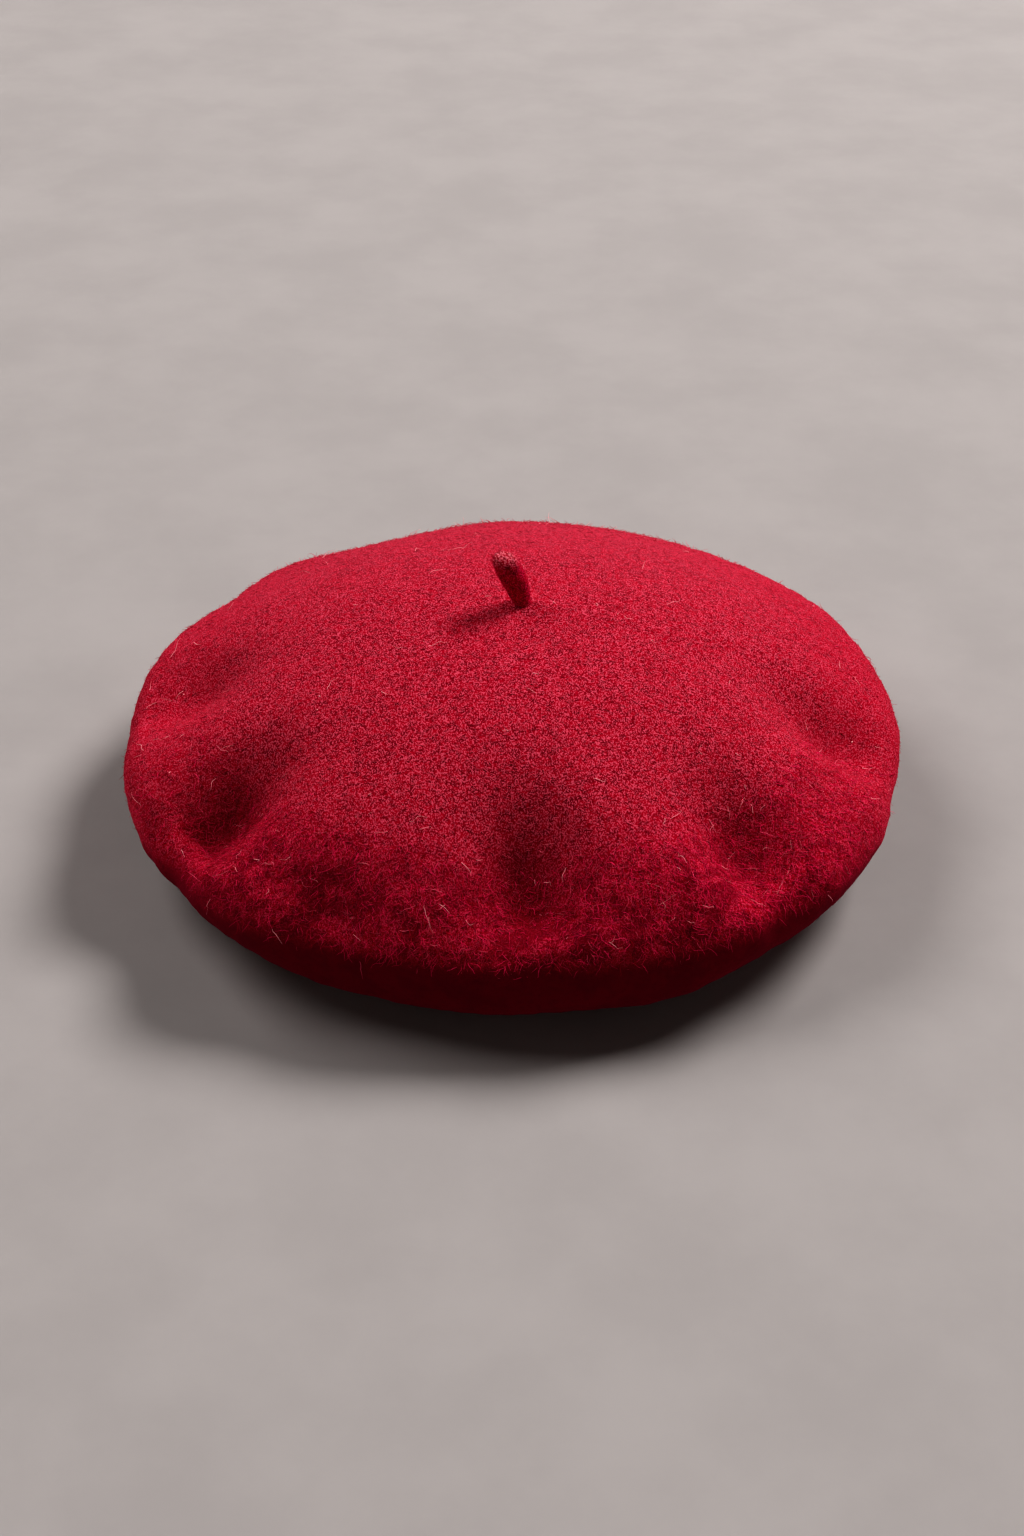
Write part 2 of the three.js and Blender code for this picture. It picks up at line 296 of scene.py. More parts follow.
class Graph:
    """Adds nodes to a tree. Each input is given as a socket to link or as a value to set."""

    def __init__(self, tree):
        self.tree = tree

    def add(self, kind, inputs=(), **settings):
        """A new node. Inputs are given in order, or by name in a dictionary."""
        node = self.tree.nodes.new(kind)
        count = len(self.tree.nodes)
        node.location = (220 * (count % 16), -280 * (count // 16))
        for name, value in settings.items():
            setattr(node, name, value)
        self.fill(node, inputs)
        return node

    def fill(self, node, inputs):
        """Links or sets a node's inputs, given in order, or by name in a dictionary."""
        if isinstance(inputs, dict):
            found = [(self.named(node.inputs, name), value) for name, value in inputs.items()]
        else:
            found = list(zip([socket for socket in node.inputs if socket.enabled], inputs))
        for socket, value in found:
            if isinstance(value, bpy.types.NodeSocket):
                self.tree.links.new(value, socket)
            else:
                socket.default_value = value

    @staticmethod
    def named(sockets, name):
        """The first socket in use that has this name."""
        return next(socket for socket in sockets if socket.name == name and socket.enabled)

    def out(self, kind, inputs=(), output=None, **settings):
        """The output of a new node: the first in use, or the one with this name."""
        node = self.add(kind, inputs, **settings)
        if output is None:
            return next(socket for socket in node.outputs if socket.enabled)
        return self.named(node.outputs, output)

    def math(self, operation, *values):
        return self.out("ShaderNodeMath", values, operation=operation)

    def product(self, first, *others):
        """All the values multiplied together."""
        for other in others:
            first = self.math("MULTIPLY", first, other)
        return first

    def rest(self, share):
        """What a share leaves of the whole."""
        return self.math("SUBTRACT", 1.0, share)

    def centred(self, pattern):
        """A pattern from 0 to 1, moved to lie evenly about 0."""
        return self.math("SUBTRACT", pattern, 0.5)

    def ramp(self, value, low, high, to_low=0.0, to_high=1.0):
        """A smooth step from to_low to to_high as the value goes from low to high."""
        inputs = {"Value": value, "From Min": low, "From Max": high, "To Min": to_low, "To Max": to_high}
        return self.out("ShaderNodeMapRange", inputs, interpolation_type="SMOOTHSTEP")

    def mix(self, factor, first, second):
        """A blend of two colours."""
        inputs = {"Factor": factor, "A": first, "B": second}
        return self.out("ShaderNodeMix", inputs, output="Result", data_type="RGBA")

    def noise(self, place, scale, detail, output=None):
        """An uneven pattern from 0 to 1."""
        inputs = {"Vector": place, "Scale": scale, "Detail": detail}
        return self.out("ShaderNodeTexNoise", inputs, output=output)

    def vector(self, operation, *values):
        """A vector operation. Its result may be a vector or a number."""
        return self.out("ShaderNodeVectorMath", values, operation=operation)

    def scaled(self, vector, scale):
        return self.out("ShaderNodeVectorMath", {"Vector": vector, "Scale": scale}, operation="SCALE")

    def parts(self, vector):
        """The three numbers of a vector, by name."""
        return self.add("ShaderNodeSeparateXYZ", [vector]).outputs

    def direction(self, azimuth):
        """The level direction at an azimuth, one metre long."""
        return self.out("ShaderNodeCombineXYZ", [self.math("COSINE", azimuth), self.math("SINE", azimuth)])

    def attribute(self, name, data_type="FLOAT"):
        """A named attribute of the geometry, in a geometry tree."""
        return self.out("GeometryNodeInputNamedAttribute", {"Name": name}, data_type=data_type)

    def surface_attribute(self, name):
        """A named number of the surface, in a material."""
        return self.out("ShaderNodeAttribute", output="Fac", attribute_name=name)

    def stored(self, geometry, name, value, domain):
        """The geometry with a number stored on it by name."""
        inputs = {"Geometry": geometry, "Name": name, "Value": value}
        return self.out("GeometryNodeStoreNamedAttribute", inputs, data_type="FLOAT", domain=domain)

    def finish(self, geometry, material):
        """Ends a geometry tree with its result smooth, realized and its material set."""
        smooth = self.out("GeometryNodeSetShadeSmooth", {"Geometry": geometry, "Shade Smooth": True})
        real = self.out("GeometryNodeRealizeInstances", [smooth])
        painted = self.out("GeometryNodeSetMaterial", {"Geometry": real, "Material": material})
        self.add("NodeGroupOutput", [painted])


def new_tree(name, inputs, outputs):
    """An empty geometry tree whose inputs and outputs have these names and kinds."""
    tree = bpy.data.node_groups.new(name, "GeometryNodeTree")
    for direction, sockets in (("INPUT", inputs), ("OUTPUT", outputs)):
        for socket_name, kind in sockets:
            tree.interface.new_socket(socket_name, in_out=direction, socket_type=f"NodeSocket{kind}")
    return tree


def fold_group():
    """A group that gives how far one fold presses the felt in at a place on it."""
    sizes = ("Azimuth", "Reach", "Turn", "Length", "Width", "Depth")
    inputs = [("Place", "Vector")] + [(size, "Float") for size in sizes]
    tree = new_tree("Felt fold", inputs, [("Pressed in", "Float")])
    graph = Graph(tree)
    given = graph.add("NodeGroupInput").outputs
    middle = graph.scaled(graph.direction(given["Azimuth"]), given["Reach"])
    away = graph.parts(graph.vector("SUBTRACT", given["Place"], middle))
    line = graph.math("ADD", given["Azimuth"], given["Turn"])
    cosine, sine = graph.math("COSINE", line), graph.math("SINE", line)
    along = graph.math("MULTIPLY_ADD", away["X"], cosine, graph.product(away["Y"], sine))
    across = graph.math("SUBTRACT", graph.product(away["Y"], cosine), graph.product(away["X"], sine))
    distances = [
        graph.math("POWER", graph.math("DIVIDE", distance, size), 2.0)
        for distance, size in ((along, given["Length"]), (across, given["Width"]))
    ]
    fading = graph.math("EXPONENT", graph.product(graph.math("ADD", *distances), -1.0))
    graph.add("NodeGroupOutput", [graph.product(given["Depth"], fading)])
    return tree


def pressed_in(graph, place):
    """How far the folds of the table together press the felt in at a place on it."""
    group = fold_group()
    total = 0.0
    for fold in FOLDS:
        inputs = {
            "Place": place, "Azimuth": math.radians(fold.azimuth), "Turn": math.radians(fold.turn),
            "Reach": fold.reach * MM, "Length": fold.length * MM, "Width": fold.width * MM,
            "Depth": fold.depth * MM,
        }
        node = graph.add("GeometryNodeGroup", inputs, node_tree=group, label=fold.name)
        total = graph.math("ADD", total, node.outputs["Pressed in"])
    return total


def felt_lumps(graph, place, reach, height):
    """The felt's soft unevenness, with more of the small tufts towards the rim."""
    soft = graph.noise(place, LUMP_SCALE, 1.0)
    tufts = graph.noise(place, TUFT_SCALE, 1.0)
    tufted = graph.ramp(reach, *TUFTS, 0.3, 1.6)
    lumps = graph.math("MULTIPLY_ADD", graph.centred(tufts), tufted, graph.centred(soft))
    return graph.product(lumps, graph.product(height, 2.0))


def crown_tree():
    """Turns the felt's section round into a crown and presses the folds in."""
    inputs = [
        ("Section", "Geometry"), ("Segments", "Int"), ("Fold strength", "Float"), ("Fade start", "Float"),
        ("Fade end", "Float"), ("Lump height", "Float"), ("Material", "Material"),
    ]
    graph = Graph(new_tree("Folded crown", inputs, [("Crown", "Geometry")]))
    given = graph.add("NodeGroupInput").outputs
    rows = graph.out(
        "GeometryNodeAttributeDomainSize", [given["Section"]], output="Point Count", component="MESH"
    )
    columns = graph.math("ADD", given["Segments"], 1.0)
    crown = graph.out(
        "GeometryNodeMeshGrid", {"Size X": 1.0, "Size Y": 1.0, "Vertices X": columns, "Vertices Y": rows}
    )
    index = graph.out("GeometryNodeInputIndex")
    column = graph.math("FLOOR", graph.math("DIVIDE", graph.math("ADD", index, 0.5), rows))
    row = graph.math("SUBTRACT", index, graph.product(column, rows))

    def from_section(value, data_type):
        """What the section's point in this row has."""
        inputs = {"Geometry": given["Section"], "Value": value, "Index": row}
        return graph.out("GeometryNodeSampleIndex", inputs, data_type=data_type)

    point = from_section(graph.out("GeometryNodeInputPosition"), "FLOAT_VECTOR")
    out = from_section(graph.attribute("out", "FLOAT_VECTOR"), "FLOAT_VECTOR")
    reach = from_section(graph.attribute("reach"), "FLOAT")
    face = from_section(graph.attribute("outer_face"), "FLOAT")

    azimuth = graph.product(graph.math("DIVIDE", column, given["Segments"]), math.tau)
    outward = graph.direction(azimuth)
    place = graph.scaled(outward, reach)
    pressed = graph.product(pressed_in(graph, place), given["Fold strength"])
    lumps = felt_lumps(graph, place, reach, given["Lump height"])
    fade = graph.ramp(reach, given["Fade start"], given["Fade end"], 1.0, 0.0)
    inward = graph.product(graph.math("ADD", pressed, lumps), fade)
    section = graph.parts(graph.vector("SUBTRACT", point, graph.scaled(out, inward)))
    upright = graph.out("ShaderNodeCombineXYZ", {"Z": section["Z"]})
    position = graph.vector("ADD", graph.scaled(outward, section["X"]), upright)

    for name, value in (("reach", reach), ("outer_face", face), ("pressed", pressed)):
        crown = graph.stored(crown, name, value, "POINT")
    crown = graph.out("GeometryNodeSetPosition", {"Geometry": crown, "Position": position})
    crown = graph.out("GeometryNodeMergeByDistance", {"Geometry": crown, "Distance": 0.01 * MM})
    graph.finish(crown, given["Material"])
    return graph.tree


def fibre_density(graph, given, position, outward):
    """How many fibres grow on each square metre at a place on the felt."""
    reach = graph.attribute("reach")

    def edge(limit, before, after):
        """A soft step at a reach."""
        low, high = graph.math("SUBTRACT", limit, FIBRE_EDGE), graph.math("ADD", limit, FIBRE_EDGE)
        return graph.ramp(reach, low, high, before, after)

    starts, ends = edge(given["Start"], 0.0, 1.0), edge(given["End"], 1.0, 0.0)
    frontal = graph.ramp(graph.product(graph.parts(outward)["Y"], -1.0), 0.1, 0.8)
    kept_to_front = graph.math("ADD", graph.rest(given["Front"]), graph.product(given["Front"], frontal))
    patches = graph.ramp(graph.noise(position, PATCH_SCALE, 2.0), 0.36, 0.6, 0.5, 1.3)
    spread = graph.product(kept_to_front, patches)
    weight = graph.product(starts, ends, spread, graph.attribute("outer_face"))
    return graph.product(given["Density"], weight)


def fibre_rotation(graph, given, normal, outward, chance):
    """How each fibre lies: tilted over, and turned more or less down the slope."""
    upright = graph.out("FunctionNodeAlignRotationToVector", {"Vector": normal}, axis="Z")
    aim = {"Rotation": upright, "Vector": outward}
    downhill = graph.out("FunctionNodeAlignRotationToVector", aim, axis="X", pivot_axis="Z")
    spread = graph.product(graph.rest(given["Comb"]), math.pi)
    spin = graph.product(spread, chance(-1.0, 1.0, 1))
    tilt = graph.product(given["Lie"], chance(0.75, 1.2, 2))
    turn = graph.out("FunctionNodeEulerToRotation", [graph.out("ShaderNodeCombineXYZ", [0.0, tilt, spin])])
    return graph.out(
        "FunctionNodeRotateRotation", {"Rotation": downhill, "Rotate By": turn}, rotation_space="LOCAL"
    )


def fibre_tree():
    """Sows fibres over the outer face of a piece of felt."""
    sizes = ("Start", "End", "Density", "Length", "Thickness", "Lie", "Comb", "Front", "Curl", "Curl size")
    inputs = [("Felt", "Geometry")] + [(size, "Float") for size in sizes]
    inputs += [("Points", "Int"), ("Seed", "Int"), ("Material", "Material")]
    graph = Graph(new_tree("Felt fibres", inputs, [("Fibres", "Geometry")]))
    given = graph.add("NodeGroupInput").outputs
    position = graph.out("GeometryNodeInputPosition")
    outward = graph.vector("NORMALIZE", graph.vector("MULTIPLY", position, (1.0, 1.0, 0.0)))

    def chance(low, high, number):
        """A number by chance for each fibre. Uses of chance are told apart by their own number."""
        inputs = {"Min": low, "Max": high, "Seed": graph.math("ADD", given["Seed"], float(number))}
        return graph.out("FunctionNodeRandomValue", inputs, data_type="FLOAT")

    density = fibre_density(graph, given, position, outward)
    sown = graph.add(
        "GeometryNodeDistributePointsOnFaces",
        {"Mesh": given["Felt"], "Density": density, "Seed": given["Seed"]},
        distribute_method="RANDOM",
    ).outputs
    rotation = fibre_rotation(graph, given, sown["Normal"], outward, chance)
    tip = graph.out("ShaderNodeCombineXYZ", {"Z": given["Length"]})
    line = graph.out("GeometryNodeCurvePrimitiveLine", {"Start": (0.0, 0.0, 0.0), "End": tip})
    fibre = graph.out("GeometryNodeResampleCurve", {"Curve": line, "Count": given["Points"]})
    sprouted = graph.out(
        "GeometryNodeInstanceOnPoints",
        {"Points": sown["Points"], "Instance": fibre, "Rotation": rotation, "Scale": chance(0.5, 1.35, 3)},
    )
    shaded = graph.stored(sprouted, "shade", chance(0.0, 1.0, 4), "INSTANCE")
    real = graph.out("GeometryNodeRealizeInstances", [shaded])

    along = graph.out("GeometryNodeSplineParameter", output="Factor")
    wander = graph.noise(position, graph.math("DIVIDE", 1.0, given["Curl size"]), 1.0, output="Color")
    wander = graph.vector("SUBTRACT", wander, (0.5, 0.5, 0.5))
    far = graph.product(given["Curl"], graph.product(along, 2.0))
    curled = graph.out("GeometryNodeSetPosition", {"Geometry": real, "Offset": graph.scaled(wander, far)})
    around = graph.out(
        "GeometryNodeCurvePrimitiveCircle",
        {"Resolution": FIBRE_SIDES, "Radius": graph.product(given["Thickness"], 0.5)},
    )
    taper = graph.ramp(along, 0.3, 1.0, 1.0, 0.35)
    tubes = graph.out(
        "GeometryNodeCurveToMesh",
        {"Curve": curled, "Profile Curve": around, "Scale": taper, "Fill Caps": True},
    )
    graph.finish(tubes, given["Material"])
    return graph.tree


def grown(name, mesh, tree, values):
    """A plain mesh object of what the tree makes of a mesh, given its other inputs by name."""
    carrier = bpy.data.objects.new(name, mesh)
    bpy.context.scene.collection.objects.link(carrier)
    modifier = carrier.modifiers.new(tree.name, "NODES")
    modifier.node_group = tree
    for socket in tree.interface.items_tree:
        if socket.in_out == "INPUT" and socket.name in values:
            modifier[socket.identifier] = values[socket.name]
    depsgraph = bpy.context.evaluated_depsgraph_get()
    result = bpy.data.meshes.new_from_object(
        carrier.evaluated_get(depsgraph), preserve_all_data_layers=True, depsgraph=depsgraph
    )
    bpy.data.objects.remove(carrier)
    if not result.polygons:
        raise RuntimeError(f"{name} came out empty")
    piece = bpy.data.objects.new(name, result)
    result.name = name
    bpy.context.scene.collection.objects.link(piece)
    return piece


# The crown's section


def bezier(start, pull_start, pull_end, end, count=200):
    """Points along a cubic curve."""
    share = np.linspace(0, 1, count)[:, None]
    rest = 1 - share
    points = [np.asarray(point, float) for point in (start, pull_start, pull_end, end)]
    return (
        rest**3 * points[0] + 3 * rest**2 * share * points[1]
        + 3 * rest * share**2 * points[2] + share**3 * points[3]
    )


def round_part(centre, radius, start, end, count=100):
    """Points along a part of a circle."""
    angle = np.linspace(start, end, count)[:, None]
    return np.asarray(centre) + radius * np.hstack([np.cos(angle), np.sin(angle)])


def meridian(crown):
    """Points down the outer face's section, from the middle of the top to the head opening.
    The first number is the distance from the axis, and the second the height."""
    upper = round_part(
        (crown.rim_radius - crown.upper_round, crown.rim_height),
        crown.upper_round, crown.shoulder_angle, 0,
    )
    lower = round_part(
        (crown.rim_radius - crown.lower_round, crown.rim_height),
        crown.lower_round, 0, -crown.underside_angle,
    )
    at_shoulder = np.array([-math.sin(crown.shoulder_angle), math.cos(crown.shoulder_angle)])
    at_underside = np.array([-math.sin(crown.underside_angle), -math.cos(crown.underside_angle)])
    dome = bezier(
        (0, crown.crown_height), (crown.dome_flatness, crown.crown_height),
        upper[0] + at_shoulder * crown.shoulder_pull, upper[0],
    )
    seat = (crown.seat_radius, 0)
    sole = bezier(
        lower[-1], lower[-1] + at_underside * crown.underside_pull,
        (crown.seat_radius + crown.seat_pull, 0), seat,
    )
    flat = np.linspace(seat, (crown.mouth_radius, 0), 20)
    return np.vstack([dome, upper[1:], lower[1:], sole[1:], flat[1:]])


def even_stations(points, spacing):
    """Evenly spaced reaches down a section, with the point and the outward direction at each."""
    steps = np.hypot(*np.diff(points, axis=0).T)
    lengths = np.concatenate([[0], np.cumsum(steps)])
    reach = np.linspace(0, lengths[-1], round(lengths[-1] / spacing) + 1)
    place = np.column_stack([np.interp(reach, lengths, points[:, axis]) for axis in (0, 1)])
    place[0, 0] = 0
    slope = np.gradient(place, reach, axis=0)
    out = np.column_stack([-slope[:, 1], slope[:, 0]])
    out /= np.linalg.norm(out, axis=1)[:, None]
    out[0] = (0, 1)
    return reach, place, out


def upright(section):
    """Flat places or directions as numbers in space, one after another."""
    return np.column_stack([section[:, 0], np.zeros(len(section)), section[:, 1]]).ravel()


def section_mesh(crown):
    """The felt's whole section as a row of points, and the felt's length. The points go down the
    outer face, round the lip and up the inner face, which has a third as many."""
    points = meridian(crown)
    reach, place, out = even_stations(points, crown.row_spacing)
    half = crown.felt_thickness / 2
    angles = np.linspace(0, math.pi, LIP_STEPS + 1)[1:-1]
    lip = np.column_stack([crown.mouth_radius - half * np.sin(angles), half * (1 - np.cos(angles))])
    inside = even_stations(points, 3 * crown.row_spacing)
    inner_reach, inner_place, inner_out = (part[::-1] for part in inside)
    inner_place = inner_place - crown.felt_thickness * inner_out
    places = np.vstack([place, lip, inner_place])
    outs = np.vstack([out, np.tile(out[-1], (len(lip), 1)), inner_out])
    reaches = np.concatenate([reach, np.full(len(lip), reach[-1]), inner_reach])
    outer = np.concatenate([np.ones(len(reach)), np.zeros(len(lip) + len(inner_reach))])
    mesh = bpy.data.meshes.new("crown_section")
    mesh.vertices.add(len(places))
    mesh.vertices.foreach_set("co", upright(places))
    for name, kind, field, values in (
        ("reach", "FLOAT", "value", reaches),
        ("outer_face", "FLOAT", "value", outer),
        ("out", "FLOAT_VECTOR", "vector", upright(outs)),
    ):
        mesh.attributes.new(name, kind, "POINT").data.foreach_set(field, values)
    return mesh, reach[-1]


def face_outwards(piece):
    """Turns the faces of a closed piece outwards."""
    work = bmesh.new()
    work.from_mesh(piece.data)
    bmesh.ops.recalc_face_normals(work, faces=work.faces)
    work.to_mesh(piece.data)
    work.free()


# Materials


def new_material(name):
    """A material, and the graph, the shader and the object coordinates to work with."""
    material = bpy.data.materials.new(name)
    material.use_nodes = True
    graph = Graph(material.node_tree)
    shader = material.node_tree.nodes["Principled BSDF"]
    graph.fill(shader, {"Specular IOR Level": 0.03})
    return material, graph, shader, graph.out("ShaderNodeTexCoord", output="Object")


def set_sheen(graph, shader, weight):
    """A soft red sheen."""
    tint = (0.9, 0.05, 0.14, 1.0)
    graph.fill(shader, {"Sheen Weight": weight, "Sheen Roughness": 0.5, "Sheen Tint": tint})


def colour(values):
    """A colour property as the four numbers of a socket."""
    return (*values, 1.0)


Patterns = namedtuple("Patterns", "patches clumps pebbles grain")


def felt_patterns(graph, place):
    """The felt's unevenness, from wide patches to its grain, which is longer from front to back."""
    brushed = graph.vector("MULTIPLY", place, (1.0, 0.62, 1.0))
    return Patterns(
        graph.noise(place, PATCH_SCALE, 2.0), graph.noise(place, CLUMP_SCALE, 2.0),
        graph.noise(place, PEBBLE_SCALE, 1.0), graph.noise(brushed, GRAIN_SCALE, 0.5),
    )


def curl_pattern(graph, grain, forward):
    """Where a curl lies on top of the felt. Towards the back the curls are less marked."""
    curls = graph.ramp(grain, 0.48, 0.62)
    softness = graph.ramp(forward, *BACK, 0.0, 0.55)
    return graph.math("ADD", curls, graph.product(softness, graph.math("SUBTRACT", 0.5, curls)))


def nap_cover(graph, reach, frontal, uneven):
    """How much of the felt the nap covers. It ends in a ragged edge under the front of the rim."""
    ragged = graph.product(graph.math("SUBTRACT", uneven, 1.1), graph.product(frontal, 14 * MM))
    lower = graph.product(graph.rest(frontal), 8 * MM)
    ragged = graph.math("ADD", ragged, graph.math("SUBTRACT", reach, lower))
    return graph.ramp(ragged, *NAP_END, 1.0, 0.1)


def felt_ground(graph, colours, patterns, knee, pocket_shade, dent):
    """The colour between the curls, with painted shade in the pockets at the front of the rim's knee and
    deep in a dent.
    """
    deep, wool = colour(colours.deep_wool), colour(colours.wool)
    tone = graph.math("MULTIPLY_ADD", knee, 0.1, patterns.pebbles)
    tone = graph.math("MULTIPLY_ADD", graph.centred(patterns.patches), 0.25, tone)
    ground = graph.mix(graph.ramp(tone, 0.3, 0.65), deep, wool)
    # Painted shade in the pockets between the tufts at the front of the knee.
    ground = graph.mix(graph.product(pocket_shade, 0.8), ground, colour(colours.painted_rim_shade))
    # Painted shade deep in a dent.
    return graph.mix(graph.product(dent, 0.85), ground, deep)


def frosted(graph, base, colours, place, grain, frosting):
    """The colour with specks of pale wool on the stalk's tip."""
    high = graph.ramp(graph.parts(place)["Z"], *STALK_TIP, 0.0, frosting)
    speckle = graph.product(high, graph.ramp(grain, 0.42, 0.6))
    return graph.mix(speckle, base, colour(colours.stray_hair))


def felt_bump(graph, patterns, curls, knee, covered):
    """The relief of the curls, pebbles and clumps, which fades with the nap."""
    relief = graph.math("MULTIPLY_ADD", patterns.pebbles, 1.2, curls)
    relief = graph.math("MULTIPLY_ADD", graph.product(patterns.clumps, knee), 2.5, relief)
    relief = graph.product(relief, covered)
    return graph.out("ShaderNodeBump", {"Strength": 0.35, "Distance": 0.3 * MM, "Height": relief})


def felt_material(name, colours, curl_colour, pale_share=0.85, frosting=0.0):
    """Fulled wool: a ground of deep wool under a tangle of curls that catch the light, with painted shade
    under the rim, in the pockets at the front of its knee and deep in the dents.
    """
    material, graph, shader, place = new_material(name)
    patterns = felt_patterns(graph, place)
    reach, pressed = graph.surface_attribute("reach"), graph.surface_attribute("pressed")
    forward = graph.parts(place)["Y"]
    frontal = graph.ramp(forward, *FRONT, 0.15, 1.0)
    knee = graph.ramp(reach, *KNEE)
    front_knee = graph.product(knee, frontal)
    uneven = graph.math("MULTIPLY_ADD", patterns.patches, 1.2, patterns.clumps)
    covered = nap_cover(graph, reach, frontal, uneven)
    # Painted shade: dark pockets between the tufts at the front of the rim's knee.
    pocket_shade = graph.product(front_knee, graph.rest(graph.ramp(uneven, 0.95, 1.18, 0.25, 1.0)))
    # Painted shade deep in the dents, by how far the folds press the felt in.
    uneven_depth = graph.math("MULTIPLY_ADD", graph.centred(patterns.clumps), 6 * MM, pressed)
    dent = graph.ramp(uneven_depth, *DENT_SHADE)

    curls = curl_pattern(graph, patterns.grain, forward)
    pale_knee = graph.ramp(knee, 0.0, 1.0, pale_share, 0.85 * pale_share)
    # Fewer pale curls in the painted shade of the pockets and the dents.
    share = graph.product(covered, graph.rest(pocket_shade), pale_knee, graph.rest(graph.product(dent, 0.65)))
    pale = graph.mix(graph.product(front_knee, 0.5), colour(curl_colour), colour(colours.combed_wool))
    base = felt_ground(graph, colours, patterns, knee, pocket_shade, dent)
    base = graph.mix(graph.product(curls, share), base, pale)
    # Painted shade: below the nap's end, the smooth felt under the rim takes the rim's painted shade
    # colour.
    base = graph.mix(graph.ramp(covered, 0.1, 1.0, 0.85, 0.0), base, colour(colours.painted_rim_shade))
    if frosting:
        base = frosted(graph, base, colours, place, patterns.grain, frosting)
    bump = felt_bump(graph, patterns, curls, knee, covered)
    roughness = graph.ramp(patterns.grain, 0.4, 0.6, 0.98, 0.85)
    graph.fill(shader, {"Base Color": base, "Normal": bump, "Roughness": roughness})
    set_sheen(graph, shader, 0.15)
    return material


def fibre_material(name, first, second):
    """Wool fibres, each a shade of its own between two colours."""
    material, graph, shader, place = new_material(name)
    tint = graph.noise(place, TINT_SCALE, 1.0)
    shade = graph.math("MULTIPLY_ADD", graph.centred(tint), 0.6, graph.surface_attribute("shade"))
    base = graph.mix(graph.ramp(shade, 0.0, 1.0), first, second)
    roughness = graph.ramp(tint, 0.3, 0.7, 0.6, 0.85)
    graph.fill(shader, {"Base Color": base, "Roughness": roughness})
    set_sheen(graph, shader, 0.1)
    return material


def floor_material(colours):
    """A plain matt floor, a little uneven in tone."""
    material, graph, shader, place = new_material("floor")
    inputs = {"Vector": place, "Scale": FLOOR_SCALE, "Detail": 6.0, "Roughness": 0.6}
    tone = graph.out("ShaderNodeTexNoise", inputs)
    darker = tuple(0.93 * part for part in colours.floor)
    base = graph.mix(graph.ramp(tone, 0.3, 0.7), colour(darker), colour(colours.floor))
    graph.fill(shader, {"Base Color": base, "Roughness": 0.85})
    return material


# Operators


def settings():
    """The beret's settings in this scene."""
    return bpy.context.scene.beret


def finish_piece(piece, slot, *nodes):
    """Puts a piece on the root body and hides the nodes that it stands for. The slot is not used."""
    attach(piece, "root")
    if nodes:
        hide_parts(*nodes)


def plain_object(name, work, material):
    """A smooth object with this material, made from a finished bmesh."""
    mesh = bpy.data.meshes.new(name)
    work.to_mesh(mesh)
    work.free()
    mesh.polygons.foreach_set("use_smooth", [True] * len(mesh.polygons))
    mesh.materials.append(material)
    piece = bpy.data.objects.new(name, mesh)
    bpy.context.scene.collection.objects.link(piece)
    return piece


def sow(felt, kinds, slot, usual, materials):
    """Grows each kind of fibre on a piece of felt."""
    tree = bpy.data.node_groups.get("Felt fibres") or fibre_tree()
    for kind in kinds:
        values = {
            "Start": kind.start * MM, "End": kind.end * MM, "Density": kind.density / CM**2,
            "Length": kind.length * MM, "Thickness": kind.thickness * MM, "Points": kind.points,
            "Lie": math.radians(kind.lie), "Comb": kind.comb, "Front": kind.front, "Curl": kind.curl * MM,
            "Curl size": kind.curl_size * MM, "Seed": kind.seed,
            "Material": materials.get(kind.name, usual),
        }
        finish_piece(grown(kind.name, felt.data, tree, values), slot)


class BERET_OT_make_crown(bpy.types.Operator):
    """Makes the hollow crown with its folds"""

    bl_idname = "beret.make_crown"
    bl_label = "Make Crown"

    def execute(self, context):
        crown, colours = settings().crown, settings().colours
        section, felt_length = section_mesh(crown)
        seat_start = felt_length - (crown.seat_radius - crown.mouth_radius)
        values = {
            "Segments": crown.segments, "Fold strength": crown.fold_strength,
            "Fade start": seat_start - crown.fold_fade, "Fade end": seat_start,
            "Lump height": crown.lump_height,
            "Material": felt_material("crown_felt", colours, colours.pale_wool),
        }
        piece = grown("beret_crown", section, crown_tree(), values)
        face_outwards(piece)
        finish_piece(piece, "crown_felt", "crown")
        return {"FINISHED"}


